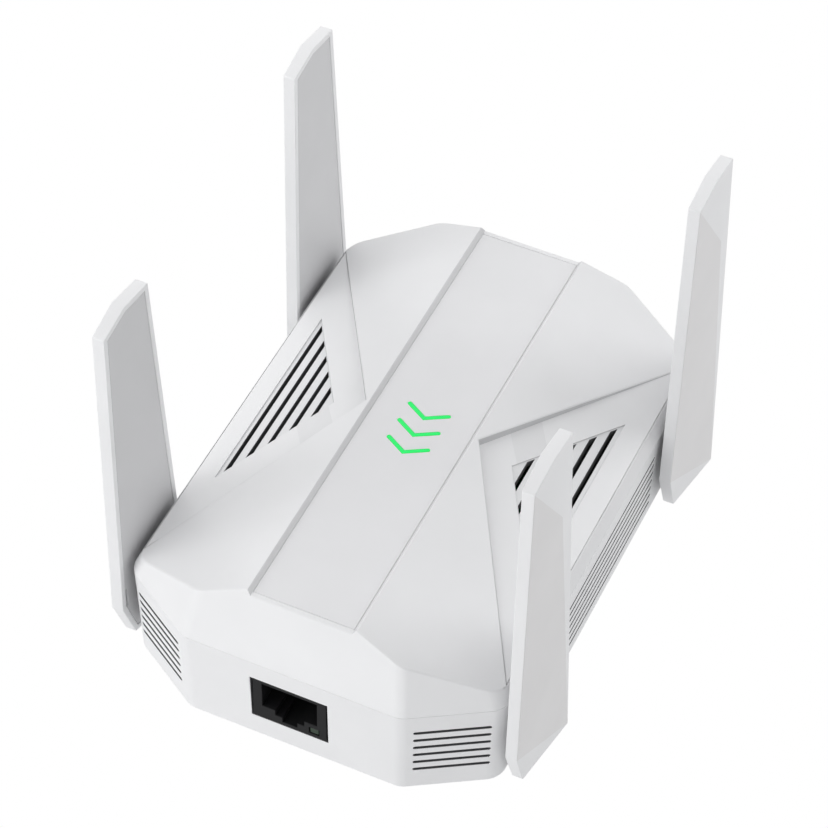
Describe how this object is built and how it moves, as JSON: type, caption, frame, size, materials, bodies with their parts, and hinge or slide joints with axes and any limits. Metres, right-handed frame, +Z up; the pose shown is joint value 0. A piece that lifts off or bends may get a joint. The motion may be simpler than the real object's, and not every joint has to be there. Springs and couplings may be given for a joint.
{
  "type": "wall-plug wifi range extender",
  "caption": "Wall-plug wifi range extender: faceted white case with fold-out blade antennas, side vents, a network jack and chevron status lights.",
  "frame": {"origin": "centre of the plug's seat, on the wall's surface, between the two prongs", "axes": "+Y into the wall along the prongs, so the front faces -Y; +Z up along the case, with the network jack at its lower end; +X across the case, so the pair of antennas called left is at -X"},
  "size_m": [0.0896, 0.1189, 0.118],
  "materials": {
    "white_plastic": "satin moulded white",
    "grey_plastic": "satin moulded light grey",
    "black_plastic": "moulded black",
    "green_lens": "clear green light lens",
    "circuit_board": "green solder mask",
    "tinned_steel": "bright tin",
    "screw_steel": "zinc plated",
    "plated_brass": "plated",
    "nickel_plate": "nickel plated",
    "copper": "bare copper",
    "ferrite": "dark ceramic",
    "winding_tape": "yellow tape over copper wire",
    "capacitor_sleeve": "dark blue sleeve",
    "aluminium": "bare extruded",
    "ceramic": "pale ceramic",
    "cable_jacket": "thin coaxial cable"
  },
  "bodies": {
    "case": {"front_cover": "white_plastic", "rear_housing": "white_plastic", "centre_strip": "grey_plastic", "chevron_lens_1": "green_lens", "chevron_lens_2": "green_lens", "chevron_lens_3": "green_lens", "light_shroud": "black_plastic", "status_leds": "ceramic", "main_board": "circuit_board", "rj45_jack": "black_plastic", "rj45_contacts": "plated_brass", "rj45_lamp_lens": "green_lens", "radio_shield": "tinned_steel", "processor_shield": "tinned_steel", "heat_sink": "aluminium", "power_board": "circuit_board", "transformer_core": "ferrite", "transformer_winding": "winding_tape", "bulk_capacitor": "capacitor_sleeve", "output_capacitor": "capacitor_sleeve", "fuse_resistor": "ceramic", "rectifier": "black_plastic", "power_header": "black_plastic", "pairing_switch": "black_plastic", "plug_carrier": "white_plastic", "prong_left": "nickel_plate", "prong_right": "nickel_plate", "prong_contact_left": "plated_brass", "prong_contact_right": "plated_brass", "case_screw_1": "screw_steel", "case_screw_2": "screw_steel", "case_screw_3": "screw_steel", "case_screw_4": "screw_steel", "board_screw_1": "screw_steel", "board_screw_2": "screw_steel", "antenna_lower_left_coax": "cable_jacket", "antenna_lower_right_coax": "cable_jacket", "antenna_upper_left_coax": "cable_jacket", "antenna_upper_right_coax": "cable_jacket"},
    "pairing_button": {"pairing_button": "white_plastic"},
    "antenna_lower_left": {"antenna_lower_left_shell": "white_plastic", "antenna_lower_left_panel": "grey_plastic", "antenna_lower_left_radiator": "copper", "antenna_lower_left_pivot": "white_plastic", "antenna_lower_left_ring": "screw_steel"},
    "antenna_lower_right": {"antenna_lower_right_shell": "white_plastic", "antenna_lower_right_panel": "grey_plastic", "antenna_lower_right_radiator": "copper", "antenna_lower_right_pivot": "white_plastic", "antenna_lower_right_ring": "screw_steel"},
    "antenna_upper_left": {"antenna_upper_left_shell": "white_plastic", "antenna_upper_left_panel": "grey_plastic", "antenna_upper_left_radiator": "copper", "antenna_upper_left_pivot": "white_plastic", "antenna_upper_left_ring": "screw_steel"},
    "antenna_upper_right": {"antenna_upper_right_shell": "white_plastic", "antenna_upper_right_panel": "grey_plastic", "antenna_upper_right_radiator": "copper", "antenna_upper_right_pivot": "white_plastic", "antenna_upper_right_ring": "screw_steel"}
  },
  "joints": [
    {"name": "antenna_lower_left_hinge", "type": "hinge", "parent": "case", "child": "antenna_lower_left", "pos_m": [-0.04125, -0.0243, -0.03885], "axis": [1, 0, 0], "range_deg": [-20, 90]},
    {"name": "antenna_lower_right_hinge", "type": "hinge", "parent": "case", "child": "antenna_lower_right", "pos_m": [0.04125, -0.0243, -0.03885], "axis": [1, 0, 0], "range_deg": [-20, 90]},
    {"name": "antenna_upper_left_hinge", "type": "hinge", "parent": "case", "child": "antenna_upper_left", "pos_m": [-0.04125, -0.0243, 0.03885], "axis": [1, 0, 0], "range_deg": [-90, 20]},
    {"name": "antenna_upper_right_hinge", "type": "hinge", "parent": "case", "child": "antenna_upper_right", "pos_m": [0.04125, -0.0243, 0.03885], "axis": [1, 0, 0], "range_deg": [-90, 20]},
    {"name": "pairing_button_press", "type": "slide", "parent": "case", "child": "pairing_button", "axis": [0, 0, -1], "range_m": [0, 0.0006], "stiffness_N_per_m": 400, "springref_m": -0.0004}
  ]
}
